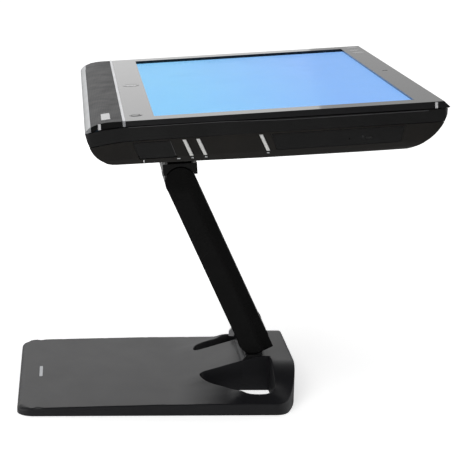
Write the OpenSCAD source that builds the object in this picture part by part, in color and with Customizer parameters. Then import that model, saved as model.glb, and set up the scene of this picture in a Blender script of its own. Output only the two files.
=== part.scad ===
// Touchscreen computer on a folding arm stand.
// X runs along the screen's width, -Y is the user's side, Z is up.
// The origin is on the desk under the middle of the base.
// Units are millimetres and degrees.

/* [Screen] */
// Width of the visible screen
screen_w = 511; // [500:1:515]
// Depth of the visible screen, front to rear
screen_d = 289; // [280:1:292]
// Rise of the screen's rear edge from level
screen_tilt = 4.4; // [0:0.1:6]
// Height of the screen's front edge above the desk
screen_z = 381.2; // [375:0.1:390]
// Place of the screen's front edge along Y
screen_y = -19.6; // [-25:0.1:-15]

/* [Case] */
// Width of the glossy front face
face_w = 560; // [556:1:562]
// Width of the case behind it
case_w = 563; // [562:1:566]
// Depth of the chin in front of the screen
chin_d = 32.3; // [31:0.1:33]
// Depth of the frame behind the screen
rear_frame_d = 29; // [27:0.5:30]
// Wall of the rear housing
case_wall = 3; // [2:0.5:3]

/* [Arm] */
// Distance between the two hinge axes
arm_length = 222.3; // [215:0.1:225]
// Lean of the arm from upright, towards the user
arm_lean = 25.6; // [22:0.1:28]
// Width of the arm across its cheeks
arm_w = 84; // [80:1:90]
// Thickness of the arm
arm_t = 38.4; // [36:0.2:39]
// Height of the lower hinge axis
lower_z = 66; // [65:0.5:70]
// Place of the lower hinge axis along Y
lower_y = 122.5; // [120:0.5:125]
// Radius of the hinge pins
pin_r = 6; // [5:0.5:6]

/* [Base] */
// Width of the base
base_w = 297; // [290:1:310]
// Depth of the base
base_d = 344; // [340:1:350]
// Thickness of the deck at its front edge
deck_front_z = 10; // [9.5:0.5:11]
// Thickness of the deck in front of the hump
deck_rear_z = 14; // [13:0.5:15]
// Height of the hump
hump_z = 45; // [42:0.5:45]

/* [Hidden] */
eps = 0.01;
far = 800;

// Colours
satin_grey = [0.22, 0.22, 0.24];
gloss_black = [0.04, 0.04, 0.05];
satin_black = [0.10, 0.10, 0.11];
bright = [0.86, 0.87, 0.88];
steel = [0.60, 0.61, 0.63];
cast = [0.45, 0.46, 0.48];
board_green = [0.10, 0.32, 0.18];

// ---- base dimensions ----
base_x = base_w / 2;
base_y = base_d / 2;
base_rim_z = 1;
base_corner_r = 20;
deck_bevel = 3.4;
ramp_start_y = 23;
ramp_end_y = 128;
crown_x = 66;
tongue_x = 52;
rail_z = 22.4;
rail_end_y = 112;
cover_wall = 2.5;
plate_low = 2;
plate_top = 6.5;
plate_gap = 0.5;
foot_r = 9.5;
foot_places = [[0, 0], [-120, -145], [120, -145], [-101, 156], [101, 156]];
screw_places = [[-118, -112], [118, -112], [-128, 20], [128, 20], [-62, 158], [62, 158]];
screw_r = 2;
screw_head_r = 4;

// ---- lower hinge ----
barrel_r = 19.6;
barrel_x = 26;
cradle_r = 20.6;
lower_end_r = 20;
upper_end_r = 19.5;
heel_s = -20;
neck_front_y = 113;
neck_rear_y = 134.5;
neck_x = 44;
bracket_foot_z = 13;
bolt_places = [[-34, 107], [34, 107], [-34, 140], [34, 140]];
bush_r = 8;
running_gap = 0.05;
spring_pocket_in = 9.5;
spring_pocket_out = 15.5;
pocket_floor_x = 12;
coil_r = 12.5;
wire_r = 1.3;
coil_turns = 3;
coil_steps = 16;
wire_sides = 6;
coil_pitch = 3.4;

// ---- arm ----
arm_x = arm_w / 2;
skin = 3.5;
cheek_out = arm_x - skin;
cheek_in = 27;
front_skin = 3;
barrel_gap_r = 20.3;
nut_seat_x = 32;
hex_r = 9.8;
nut_h = 5;
screw_s = [60, 165];
screw_x = 30;
facet_top_t = -2;
facet_top_s = 203;
facet_lean = 4.1;
facet_turn = 6.5;

// ---- head, in screen coordinates: l rearwards, n out of the screen ----
head_y = lower_y - arm_length * sin(arm_lean) - screen_y;
head_z = lower_z + arm_length * cos(arm_lean) - screen_z;
head_l = head_y * cos(screen_tilt) + head_z * sin(screen_tilt);
head_n = head_z * cos(screen_tilt) - head_y * sin(screen_tilt);
head_half_l = 21.4;
head_top_n = -94;
head_low_n = -108;
head_cradle_r = 20.2;
post_x = 30;
post_half_l = 15;
plate_n = -51.1;
plate_t = 3;
mount_size = 120;
mount_pitch = 100;
mount_l = 60;

// ---- case outline, in screen coordinates ----
face_x = face_w / 2;
case_x = case_w / 2;
glass_sink = 2.6;
face_rear_l = screen_d + rear_frame_d;
tip_l = face_rear_l + 6.8;
tip_n = -7;
bar_rear_l = -35.4;
bar_front_l = -70;
bar_front_n = -4.4;
nose_l = -76.8;
nose_n = -11.6;
seam_gap = 0.7;
floor_front_n = -46.5;
floor_rear_n = -49.5;
floor_front_l = -44;
floor_rear_l = 273;
edge_r = 8;
lip_x = 275.8;

service_x = [80, 200];
service_l = [-20, 60];
case_screws = [
    [-255, -30], [255, -30], [-255, 120], [255, 120], [-255, 262], [255, 262], [0, -30], [0, 150]
];
camera_l = 304;
power_x = 242;
power_l = -19.4;
power_r = 7;
emblem_x = -8;
emblem_l = -15.5;
emblem_r = 10;
label_x = [213, 258];
label_l = [-58, -48];
label_n = -1.4;

// ---- side controls ----
side_top_n = -24;
side_low_n = -42;
key_lean = 7.3;
key_w = 3.7;
volume_l = 30;
brightness_l = 45;
eject_l = 114;
key_gap = 0.3;
key_proud = 0.6;
door_l = [-26, 15];
door_lean = 6;
door_axis_n = -41;
door_axis_x = case_x - 1.6;
door_pin_r = 1.6;

// ---- disc drive ----
tray_l = 200;
tray_x = 214;
tray_top_n = -30;
tray_t = 8;
disc_r = 61;
drive_half_l = 64;
fascia_l = [125.5, 274];
fascia_lean = [5, -6];
fascia_gap = 0.35;
button_l = 233;
pinhole_l = 211;
fascia_mid_n = -34.8;

// ---- cooling and ports ----
fan_x = -178;
fan_l = 205;
fan_top_n = -23;
fan_h = 14;
blade_count = 15;
port_l = [118, 202];
port_n = [-41, -27];
jack_r = 1.8;
jack_l = [172, 182];
inlet_l = 216;
inlet_n = -34;
net_l = [124, 136];
net_n = [-39.5, -30.5];

// ================= helpers =================

// Points of a cubic curve from a to d, pulled towards b and c
function curve(a, b, c, d, steps = 8) = [
    for (i = [0:steps])
        let (t = i / steps, u = 1 - t)
            u * u * u * a + 3 * u * u * t * b + 3 * u * t * t * c + t * t * t * d
];

function flip(points) = [for (i = [len(points) - 1:-1:0]) [-points[i][0], points[i][1]]];

// A profile of (Y, Z) points drawn out along X
module along_x(width, from = undef) {
    shift = is_undef(from) ? -width / 2 : from;
    translate([shift, 0, 0]) rotate([90, 0, 90]) linear_extrude(width) children();
}

// A profile of (X, Z) points drawn out along Y
module along_y(from, to) {
    translate([0, to, 0]) rotate([90, 0, 0]) linear_extrude(to - from) children();
}

module block(low, high) {
    translate(low) cube(high - low);
}

module rod_x(radius, from, to, y = 0, z = 0, fn = 64) {
    translate([from, y, z]) rotate([0, 90, 0]) cylinder(h = to - from, r = radius, $fn = fn);
}

module rod_y(radius, from, to, x = 0, z = 0, fn = 48) {
    translate([x, to, z]) rotate([90, 0, 0]) cylinder(h = to - from, r = radius, $fn = fn);
}

module rod_z(radius, low, high, x = 0, y = 0, fn = 48) {
    translate([x, y, low]) cylinder(h = high - low, r = radius, $fn = fn);
}

module both_sides() {
    children();
    mirror([1, 0, 0]) children();
}

module on_screen() {
    translate([0, screen_y, screen_z]) rotate([screen_tilt, 0, 0]) children();
}

module on_arm() {
    translate([0, lower_y, lower_z]) rotate([arm_lean, 0, 0]) children();
}

module on_head() {
    on_screen() translate([0, head_l, head_n]) children();
}

// A screw along Z with its head at the bottom
module screw_up(head_low, head_h, head_r, shank_r, top) {
    rod_z(head_r, head_low, head_low + head_h);
    rod_z(shank_r, head_low + head_h - eps, top);
}

// Place along the case of a slanted edge at height n, with its top end at l
function slant_l(l, lean, n) = l + lean * (side_top_n - n) / (side_top_n - side_low_n);

// Four-sided outline between two slanted edges, as (Y, Z) points
module slanted(l_range, lean_range, n_range = [side_low_n, side_top_n], grow = 0) {
    low = n_range[0] - grow;
    top = n_range[1] + grow;
    polygon([
        [slant_l(l_range[0], lean_range[0], low) - grow, low],
        [slant_l(l_range[1], lean_range[1], low) + grow, low],
        [slant_l(l_range[1], lean_range[1], top) + grow, top],
        [slant_l(l_range[0], lean_range[0], top) - grow, top]
    ]);
}

// ================= base =================

// Half of the base seen from above, from the front middle to the rear middle
function base_half(inset) = concat(
    [
        for (a = [-90:15:0])
            [
                base_x - base_corner_r + (base_corner_r - inset) * cos(a),
                -base_y + base_corner_r + (base_corner_r - inset) * sin(a)
            ]
    ],
    curve(
        [base_x - inset, base_y - 44], [base_x - inset, base_y - 14],
        [118, base_y - inset], [70, base_y - inset]
    )
);

module base_plan(inset = 0) {
    polygon(concat(base_half(inset), flip(base_half(inset))));
}

// Height of the base along its length
module base_side(drop = 0) {
    polygon([
        [-base_y, -eps],
        [-base_y, deck_front_z - deck_bevel - drop],
        [-base_y + deck_bevel, deck_front_z - drop],
        [-0.6 * base_y, deck_front_z + 1.7 - drop],
        [0, deck_rear_z - drop],
        [ramp_start_y, deck_rear_z - drop],
        [ramp_end_y, hump_z - drop],
        [base_y, hump_z - drop],
        [base_y, -eps]
    ]);
}

// Heights across the width at the rear: a crown with falling flanks
function flank(drop) = curve(
    [crown_x - drop / 2, hump_z - drop], [95 - drop, hump_z - drop],
    [106 - drop, 24 - drop], [base_x, deck_rear_z + 0.6 - drop], 12
);

// Heights across the width beside the cut-outs: the hinge ramp, then a low rail
function rail(drop) = concat(
    [[tongue_x, hump_z - drop], [tongue_x + 6, rail_z + 2.5 - drop]],
    curve([64, rail_z + 1.8 - drop], [82, rail_z - drop], [112, rail_z + 1 - drop],
        [133, 19.3 - drop], 6),
    [[base_x, deck_rear_z + 0.4 - drop]]
);

module base_across(half) {
    polygon(concat(
        [[-base_x, -eps], [base_x, -eps]],
        [for (i = [len(half) - 1:-1:0]) half[i]],
        [for (p = half) [-p[0], p[1]]]
    ));
}

module base_form(inset = 0, drop = 0) {
    intersection() {
        linear_extrude(hump_z) base_plan(inset);
        along_x(base_w) base_side(drop);
        union() {
            along_y(-base_y, rail_end_y) base_across(rail(drop));
            along_y(rail_end_y - eps, base_y) base_across(flank(drop));
        }
    }
}

// Cut-out beside the hinge, open through the base
module cutout_plan(grow = 0) {
    offset(delta = grow) polygon(concat(
        [[49, 143], [49, 106]],
        curve([48.3, 64], [48.4, 56], [53, 53.4], [62, 55.2], 4),
        curve([63, 55.4], [84, 59], [92, 69], [104, 82], 6),
        curve([105, 83], [112, 90.5], [122, 98], [128.5, 104.5], 4),
        curve([129, 105], [133, 109], [134, 117], [133.8, 124], 4),
        curve([133.6, 126], [133, 136], [126, 142.4], [112, 143], 4)
    ));
}

module base_cutouts(grow = 0) {
    both_sides() translate([0, 0, -eps]) linear_extrude(far) cutout_plan(grow);
}

module base_cover() {
    color(satin_grey) difference() {
        base_form();
        // hollow above the plate, with a wall round each cut-out
        difference() {
            base_form(cover_wall + plate_gap, cover_wall);
            base_cutouts(cover_wall);
            for (p = screw_places)
                rod_z(5, plate_top, far, p[0], p[1]);
        }
        base_cutouts();
        translate([0, 0, -eps]) linear_extrude(base_rim_z + eps) square(far, center = true);
        for (p = screw_places)
            rod_z(screw_r, 0, plate_top + 3, p[0], p[1]);
        // opening that the hinge cover closes
        block([-neck_x - 3, 108, hump_z - 12], [neck_x + 3, 141, far]);
    }
}

module base_plate() {
    color(steel) difference() {
        translate([0, 0, plate_low]) linear_extrude(plate_top - plate_low)
            base_plan(cover_wall + 2 * plate_gap);
        base_cutouts(cover_wall + plate_gap);
        for (p = screw_places)
            plate_hole(p, screw_r + 0.2, screw_head_r + 0.2);
        for (p = bolt_places)
            plate_hole(p, screw_r + 1.2, screw_head_r + 1.2);
    }
}

module plate_hole(place, shank, head) {
    rod_z(shank, 0, far, place[0], place[1]);
    rod_z(head, 0, plate_low + 2, place[0], place[1]);
}

module feet() {
    color([0.08, 0.08, 0.08])
        for (p = foot_places)
            rod_z(foot_r, 0, plate_low, p[0], p[1]);
}

module base_screws() {
    color(bright)
        for (p = screw_places)
            translate([p[0], p[1], 0]) screw_up(plate_low + 0.2, 1.8, screw_head_r, screw_r, plate_top + 3);
}

module hinge_bracket() {
    color(cast) difference() {
        union() {
            block([-neck_x, 102, plate_top], [neck_x, 145, bracket_foot_z]);
            difference() {
                block([-neck_x, neck_front_y, plate_top], [neck_x, neck_rear_y, 53]);
                rod_x(cradle_r, -far / 2, far / 2, lower_y, lower_z);
            }
            difference() {
                block([-barrel_x, neck_front_y, 40], [barrel_x, neck_rear_y, lower_z]);
                rod_x(cradle_r + 5, -far, -barrel_x, lower_y, lower_z);
            }
            rod_x(barrel_r, -barrel_x, barrel_x, lower_y, lower_z);
        }
        rod_x(bush_r, -far / 2, far / 2, lower_y, lower_z);
        both_sides() spring_pocket(lower_y, lower_z);
        for (p = bolt_places)
            rod_z(screw_r + 1, 0, far, p[0], p[1]);
    }
}

// Ring-shaped pocket in the end of a hinge barrel
module spring_pocket(y, z) {
    difference() {
        rod_x(spring_pocket_out, pocket_floor_x, far, y, z);
        rod_x(spring_pocket_in, pocket_floor_x - 1, far, y, z);
    }
}

module bracket_bolts() {
    color(bright)
        for (p = bolt_places)
            translate([p[0], p[1], 0])
                screw_up(plate_low + 0.2, 1.8, screw_head_r + 1, screw_r + 1, bracket_foot_z + 2);
}

// Cover plate that follows the ramp and the crown round the bracket's neck
module hinge_cover() {
    color(satin_grey) difference() {
        union() {
            intersection() {
                along_x(2 * neck_x + 5.4) base_side();
                block([-neck_x - 2.7, 108.3, hump_z - 11.5], [neck_x + 2.7, 140.7, hump_z]);
            }
            // cheek on each side of the neck
            both_sides() along_x(2.3, neck_x + 0.4) polygon([
                [108.3, 35], [108.3, 38.4], [114.5, 46.5], [132, 46.5], [136, 44.5], [136, 35]
            ]);
        }
        translate([0, 0, -3]) intersection() {
            along_x(2 * neck_x) base_side();
            block([-neck_x, 111, 0], [neck_x, 138, hump_z]);
        }
        block([-neck_x - 0.4, neck_front_y - 0.4, 0], [neck_x + 0.4, neck_rear_y + 0.4, far]);
    }
}

module bush_pair(y, z) {
    both_sides() difference() {
        rod_x(bush_r, 14, barrel_x, y, z);
        rod_x(pin_r + running_gap, 13, barrel_x + 1, y, z);
    }
}

module lower_bushes() {
    color([0.72, 0.52, 0.25]) bush_pair(lower_y, lower_z);
}

// One coil spring wound about X, made as a swept tube
function coil_point(i, j) =
    let (a = 360 * i / coil_steps, b = 360 * j / wire_sides, r = coil_r + wire_r * cos(b))
        [coil_pitch * i / coil_steps + wire_r * sin(b), r * cos(a), r * sin(a)];

module coil() {
    rings = coil_turns * coil_steps;
    points = [for (i = [0:rings], j = [0:wire_sides - 1]) coil_point(i, j)];
    walls = [
        for (i = [0:rings - 1], j = [0:wire_sides - 1])
            let (k = (j + 1) % wire_sides, a = i * wire_sides, b = a + wire_sides)
                [a + j, a + k, b + k, b + j]
    ];
    first = [for (j = [wire_sides - 1:-1:0]) j];
    last = [for (j = [0:wire_sides - 1]) rings * wire_sides + j];
    polyhedron(points, concat(walls, [first, last]), convexity = 6);
}

module lower_springs() {
    color(steel) both_sides()
        translate([pocket_floor_x + wire_r + 0.2, lower_y, lower_z]) coil();
}

module base_badge() {
    badge_l = 40;
    badge_y = -145;
    color([0.62, 0.63, 0.65]) on_deck(badge_y) linear_extrude(0.3) hull() {
        translate([-badge_l / 2, 0]) circle(2, $fn = 24);
        translate([badge_l / 2, 0]) circle(2, $fn = 24);
    }
}

// The deck's surface near its front edge, at a place along Y
module on_deck(y) {
    run = 0.4 * base_y - deck_bevel;
    rise = 1.7;
    height = deck_front_z + rise * (y + base_y - deck_bevel) / run;
    translate([0, y, height]) rotate([atan(rise / run), 0, 0]) children();
}

// ================= arm, in arm coordinates: t rearwards, s along the arm =================

// Side outline of the arm: two round ends and a square heel
module arm_side(inset = 0) {
    half = arm_t / 2 - inset;
    circle(lower_end_r - inset, $fn = 96);
    translate([0, arm_length]) circle(upper_end_r - inset, $fn = 96);
    translate([-half, 0]) square([2 * half, arm_length]);
    translate([0, heel_s + inset]) square([half, -heel_s]);
}

// Room for the two hinge barrels
module barrel_room(radius = barrel_gap_r) {
    rod_x(radius, -cheek_out, cheek_out);
    rod_x(radius, -cheek_out, cheek_out, 0, arm_length);
}

module arm_frame() {
    boss_r = 15.5;
    color(cast) on_arm() difference() {
        union() {
            both_sides() along_x(cheek_out - cheek_in, cheek_in) {
                circle(boss_r, $fn = 64);
                translate([0, arm_length]) circle(boss_r, $fn = 64);
                translate([-boss_r, 0]) square([2 * boss_r, arm_length]);
            }
            block([-cheek_in - 1, -5, 28], [cheek_in + 1, 5, arm_length - 28]);
            for (x = [-screw_x, screw_x], s = screw_s)
                rod_y(4, 4, arm_t / 2 - front_skin, x, s);
        }
        both_sides() rod_x(pin_r, 0, far);
        both_sides() rod_x(pin_r, 0, far, 0, arm_length);
        both_sides() rod_x(hex_r + 1, nut_seat_x, far);
        both_sides() rod_x(hex_r + 1, nut_seat_x, far, 0, arm_length);
        for (x = [-screw_x, screw_x], s = screw_s)
            rod_y(screw_r, 0, far, x, s);
    }
}

module arm_cover() {
    color(gloss_black) on_arm() difference() {
        along_x(arm_w) arm_side();
        // room inside for the frame, open at the rear
        along_x(2 * cheek_out) translate([-arm_t / 2 + front_skin, heel_s - 1])
            square([arm_t, arm_length + 60]);
        barrel_room();
        // side facet that narrows down the arm
        both_sides() translate([arm_x, facet_top_t, facet_top_s]) rotate([-facet_lean, 0, 0])
            rotate([0, 0, -facet_turn]) translate([0, -arm_t, -arm_length])
                cube([arm_t, arm_t, arm_length]);
    }
}

module arm_back_cover() {
    color(gloss_black) on_arm() difference() {
        block([-cheek_out + 0.2, arm_t / 2 - front_skin, 13], [cheek_out - 0.2, arm_t / 2, arm_length - 13]);
        for (x = [-screw_x, screw_x], s = screw_s) {
            rod_y(screw_r, 0, far, x, s);
            rod_y(screw_head_r, arm_t / 2 - 1.6, far, x, s);
        }
    }
}

module arm_screws() {
    color(satin_black) on_arm()
        for (x = [-screw_x, screw_x], s = screw_s) {
            rod_y(screw_head_r - 0.3, arm_t / 2 - 1.6, arm_t / 2 - 0.1, x, s);
            rod_y(screw_r, 4, arm_t / 2 - 1.6, x, s);
        }
}

// Hook on the far side of the lower hinge that leads cables into the cut-out
module cable_clip() {
    clip_x = [-58, -52];
    color([0.62, 0.62, 0.63]) translate([0, lower_y, lower_z]) {
        rod_x(4.5, clip_x[1] - 1, -arm_x, -9, -8);
        along_x(clip_x[1] - clip_x[0], clip_x[0]) polygon([
            [-6, -13], [-11, -4], [-18.4, -13.2], [-21.2, -16.6], [-21.6, -23], [-15, -23.5], [-13, -17]
        ]);
    }
}

module at_both_hinges() {
    on_arm() {
        children();
        translate([0, 0, arm_length]) children();
    }
}

module hinge_pins() {
    color(steel) at_both_hinges() {
        rod_x(pin_r, -nut_seat_x, nut_seat_x + nut_h + 0.6);
        rod_x(hex_r, -nut_seat_x - nut_h, -nut_seat_x, fn = 6);
    }
}

module hinge_nuts() {
    color(bright) at_both_hinges() difference() {
        rod_x(hex_r, nut_seat_x, nut_seat_x + nut_h, fn = 6);
        rod_x(pin_r, nut_seat_x - 1, nut_seat_x + nut_h + 1);
    }
}

module friction_discs() {
    color([0.35, 0.33, 0.30]) at_both_hinges() both_sides() difference() {
        rod_x(14, barrel_x + 0.1, cheek_in);
        rod_x(pin_r, barrel_x - 1, cheek_in + 1);
    }
}

// ================= head =================

module head_bracket() {
    color(satin_black) difference() {
        on_head() difference() {
            union() {
                // block over the arm's round end
                block([-arm_x, -head_half_l, head_low_n - head_n],
                    [arm_x, head_half_l, head_top_n - head_n]);
                block([-post_x, -post_half_l, head_top_n - head_n - 2],
                    [post_x, post_half_l, plate_n - head_n]);
                block([-barrel_x, -12, 0], [barrel_x, 12, head_top_n - head_n]);
            }
            both_sides() rod_x(head_cradle_r, barrel_x, far);
            both_sides() block([8, -post_half_l + 4, head_top_n - head_n], [post_x - 4, far, plate_n - head_n - 4]);
        }
        on_head() rod_x(bush_r, -far / 2, far / 2);
        on_screen() for (x = [-22, 22], l = [head_l - 10, head_l + 10])
            rod_z(screw_r, plate_n - 3.9, plate_n + 1, x, l);
    }
    color(cast) on_head() difference() {
        rod_x(barrel_r - 0.3, -barrel_x, barrel_x);
        rod_x(bush_r, -far / 2, far / 2);
        block([-barrel_x - 1, -12, 0], [barrel_x + 1, 12, far]);
    }
}

module upper_bushes() {
    color([0.72, 0.52, 0.25]) on_head() bush_pair(0, 0);
}

module mount_plate() {
    color(satin_black) on_screen() difference() {
        translate([-mount_size / 2, mount_l - mount_size / 2, plate_n])
            cube([mount_size, mount_size, plate_t]);
        for (x = [-1, 1], l = [-1, 1])
            rod_z(screw_r + 0.25, -far, 0, x * mount_pitch / 2, mount_l + l * mount_pitch / 2);
        for (x = [-22, 22], l = [head_l - 10, head_l + 10])
            rod_z(screw_r, -far, 0, x, l);
    }
}

module mount_screws() {
    color(bright) on_screen() {
        for (x = [-1, 1], l = [-1, 1])
            translate([x * mount_pitch / 2, mount_l + l * mount_pitch / 2, 0])
                screw_up(plate_n - 2.2, 2.2, screw_head_r, screw_r, plate_n + plate_t + 4);
        for (x = [-22, 22], l = [head_l - 10, head_l + 10])
            rod_z(screw_r, plate_n - 3.9, plate_n + plate_t - 0.2, x, l);
    }
}

// ================= screen stack =================

module front_bezel() {
    color(gloss_black) on_screen() difference() {
        along_x(face_w) polygon([
            [-chin_d, 0], [face_rear_l, 0], [tip_l, tip_n], [tip_l - 2.3, tip_n - 0.6],
            [-chin_d, -5.9]
        ]);
        block([-screen_w / 2, 0, -far], [screen_w / 2, screen_d, far]);
        // seat of the glass
        block([-screen_w / 2 - 4, -4, -far], [screen_w / 2 + 4, screen_d + 4, -glass_sink]);
        // relief under the chin and the rear strip
        block([-face_x + 4, -chin_d + 4, -far], [face_x - 4, face_rear_l - 3, -4.5]);
        rod_z(3.3, -far, far, 0, camera_l);
        rod_z(power_r + 0.25, -far, far, power_x, power_l);
        rod_z(emblem_r + 0.1, -0.4, far, emblem_x, emblem_l);
    }
}

// Flat outline with round ends, long along X
module pill(length, width) {
    square([length - width, width], center = true);
    for (x = [-1, 1])
        translate([x * (length - width) / 2, 0]) circle(width / 2, $fn = 32);
}

module touch_glass() {
    color([0.45, 0.70, 1.0]) on_screen()
        block([-screen_w / 2 - 3.5, -3.5, -4.4], [screen_w / 2 + 3.5, screen_d + 3.5, -glass_sink]);
}

module lcd_panel() {
    color([0.30, 0.32, 0.36]) on_screen()
        block([-screen_w / 2 - 7, -7, -10], [screen_w / 2 + 7, screen_d + 7, -4.6]);
}

module backlight_unit() {
    color([0.85, 0.86, 0.84]) on_screen()
        block([-screen_w / 2 - 7, -7, -17], [screen_w / 2 + 7, screen_d + 7, -10.1]);
}

module chassis_sheet() {
    color(steel) on_screen() difference() {
        block([-272, -20, -18.6], [272, 306, -17.1]);
        for (x = [-260, 260], l = [-14, 100, 200, 300])
            rod_z(2, -far, 0, x, l);
        for (x = [-180:60:180])
            translate([x - 15, 120, -far]) cube([30, 60, far * 2]);
    }
}

module bar_side() {
    polygon(concat(
        [[bar_rear_l, -5.9], [bar_rear_l, 0]],
        curve([-46, 0], [-56, -0.1], [-63, -1.4], [bar_front_l + 0.2, bar_front_n], 6),
        [[bar_front_l + 0.2, -9.6], [-60, -8.0]]
    ));
}

module speaker_bar() {
    color([0.40, 0.40, 0.41]) on_screen() difference() {
        along_x(face_w) bar_side();
        block([label_x[0], label_l[0], label_n], [label_x[1], label_l[1], far]);
        along_x(face_w - 14) polygon([
            [bar_rear_l - 3, -far], [bar_rear_l - 3, -3], [-50, -3], [-60, -4.4], [-66, -6],
            [-66, -far]
        ]);
    }
}

module speaker_boxes() {
    box_x = [110, 250];
    color(satin_black) on_screen() both_sides() difference() {
        block([box_x[0], -60, -33], [box_x[1], -39, -9.5]);
        for (x = [140, 190]) {
            rod_z(9.5, -14, 0, x, -50.5);
            rod_z(4, -22, 0, x, -50.5);
        }
    }
}

module trim_line() {
    color(bright) on_screen()
        block([-face_x - 0.5, bar_rear_l + 0.1, -5.9], [face_x + 0.5, -chin_d - 0.1, 0.3]);
}

module front_trim() {
    color(bright) on_screen() along_x(face_w + 1) polygon(concat(
        [[bar_front_l - 0.1, -9.7]],
        curve([bar_front_l - 0.1, bar_front_n], [-73, -6], [-75.6, -8.4], [nose_l, nose_n + 0.6], 6),
        [[-73.5, -11.0]]
    ));
}

module edge_clips() {
    color(bright) on_screen() both_sides() {
        block([face_x, -62.2, -7.8], [face_x + 0.8, -59.2, -1.4]);
        block([face_x, 307.5, -7.4], [face_x + 0.8, 310.5, -0.6]);
    }
}

// ================= case =================

// Seam between the two halves of the case, rear to front
seam = [[317.4, -22.2], [102, -21.1], [-34, -21.6], [-54, -23.6], [-72.6, -26.4]];

// Height of the case's outer floor at a place along it
function floor_n(l) = floor_front_n
    + (floor_rear_n - floor_front_n) * (l - floor_front_l) / (floor_rear_l - floor_front_l);

module mid_side() {
    polygon(concat(
        seam,
        [[-75, -20], [nose_l, nose_n], [-60, -8.6], [-34, -6.6], [322, -8.3], [321, -15]]
    ));
}

// Lower half: a round nose, a sloping floor and a round rear edge
module low_side(wall = 0) {
    w = wall;
    polygon(concat(
        curve([-72.4 + w, -27 - seam_gap], [-69 + w, -37 + w], [-60 + w, floor_front_n + w],
            [floor_front_l, floor_front_n + w]),
        curve([floor_rear_l, floor_rear_n + w], [296 - w, floor_rear_n + 2 + w], [309 - w, -36 + w],
            [317.2 - w, -22.2 - seam_gap]),
        wall > 0 ? [seam[0] + [-w, 1]] : [],
        [for (i = [1:4]) seam[i] + [0, wall > 0 ? 1 : -seam_gap]]
    ));
}

// The same case seen from the front, with round lower edges
module low_front(wall = 0) {
    x = case_x - wall;
    n = floor_rear_n + wall;
    polygon(concat(
        [[-x, -10], [-x, n + edge_r + 2]],
        curve([-x, n + edge_r], [-x, n + 3.5], [-x + 3.5, n], [-x + edge_r, n], 5),
        curve([x - edge_r, n], [x - 3.5, n], [x, n + 3.5], [x, n + edge_r], 5),
        [[x, -10]]
    ));
}

module case_plan() {
    r = 6;
    translate([-case_x, nose_l - 0.1]) {
        translate([r, 0]) square([case_w - 2 * r, 400]);
        translate([0, r]) square([case_w, 400 - 2 * r]);
        for (x = [r, case_w - r], l = [r, 400 - r])
            translate([x, l]) circle(r, $fn = 48);
    }
}

module low_form(wall = 0) {
    intersection() {
        along_x(2 * (case_x - wall)) low_side(wall);
        along_y(nose_l - 5, tip_l + 5) low_front(wall);
    }
}

module mid_housing() {
    color(gloss_black) on_screen() {
        difference() {
            intersection() {
                along_x(case_w) mid_side();
                translate([0, 0, -60]) linear_extrude(80) case_plan();
            }
            block([-case_x + 3.5, -70, -far], [case_x - 3.5, 314, far]);
        }
        // lip inside the bezel
        difference() {
            block([-case_x + 3, -31, -13], [case_x - 3, 314.4, -10.5]);
            block([-lip_x + 1.5, -far, -far], [lip_x - 1.5, far, far]);
        }
        both_sides() block([lip_x - 1.5, -27.5, -11], [lip_x, 314.4, -4.7]);
    }
}

// Everything that the side wall has to open for
module side_openings() {
    along_x(20, case_x - 10) slanted(fascia_l, fascia_lean, grow = 0);
    for (l = [volume_l, brightness_l, eject_l])
        along_x(20, case_x - 10) key_side(l, key_gap);
    along_x(20, case_x - 10) slanted(door_l, [door_lean, door_lean], [door_axis_n - door_pin_r - 0.25, side_top_n]);
}

module key_side(l, grow = 0) {
    slanted([l - key_w / 2, l + key_w / 2], [key_lean, key_lean], grow = grow);
}

module rear_housing() {
    vent_l = 236;
    color([0.13, 0.12, 0.12]) on_screen() difference() {
        low_form();
        low_form(case_wall);
        side_openings();
        // opening for the rear ports on the left
        block([-case_x - 5, port_l[0], port_n[0]], [-case_x + 6, port_l[1], port_n[1]]);
        rod_x(5, -case_x - 5, -case_x + 6, inlet_l, inlet_n);
        // air slots under the fan and along the rear
        for (i = [0:11])
            block([-214, fan_l - 33 + 6 * i, -far], [-142, fan_l - 30 + 6 * i, -40]);
        for (i = [0:17])
            block([-60 + 9 * i, vent_l, -far], [-56 + 9 * i, vent_l + 26, -40]);
        // opening for the service cover, holes for the mount and the screws
        block([service_x[0], service_l[0], -far], [service_x[1], service_l[1], -40]);
        for (x = [-1, 1], l = [-1, 1])
            rod_z(screw_r, -far, -30, x * mount_pitch / 2, mount_l + l * mount_pitch / 2);
        for (p = case_screws)
            rod_z(3.2, -far, -30, p[0], p[1]);
    }
}

module service_cover() {
    gap = 0.4;
    color(satin_black) on_screen() intersection() {
        difference() {
            low_form();
            low_form(2.5);
        }
        block([service_x[0] + gap, service_l[0] + gap, -far], [service_x[1] - gap, service_l[1] - gap, -40]);
    }
}

module housing_screws() {
    color(steel) on_screen()
        for (p = case_screws)
            rod_z(3, floor_n(p[1]) + 0.6, floor_n(p[1]) + case_wall + 1, p[0], p[1]);
}

module webcam_lens() {
    color([0.12, 0.12, 0.16]) on_screen() rod_z(3.2, -3, -0.3, 0, camera_l);
}

module webcam_module() {
    color(board_green) on_screen() block([-14, camera_l - 4, -7.2], [14, camera_l + 4, -4.6]);
}

module emblem_plates() {
    color(bright) on_screen() {
        rod_z(emblem_r, -0.4, 0.2, emblem_x, emblem_l);
        intersection() {
            along_x(face_w) translate([0, 0.1]) bar_side();
            block([label_x[0] + 0.1, label_l[0] + 0.1, label_n], [label_x[1] - 0.1, label_l[1] - 0.1, 1]);
        }
    }
}

// ================= electronics =================

module motherboard() {
    color(board_green) on_screen() union() {
        block([-135, 64, -23], [78, 226, -21.4]);
        block([-128, 70, -31], [-96, 96, -23 + eps]);
        block([20, 190, -29], [70, 218, -23 + eps]);
        for (i = [0:5])
            rod_z(3.5, -33, -23 + eps, -120 + 11 * i, 215);
    }
}

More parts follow.
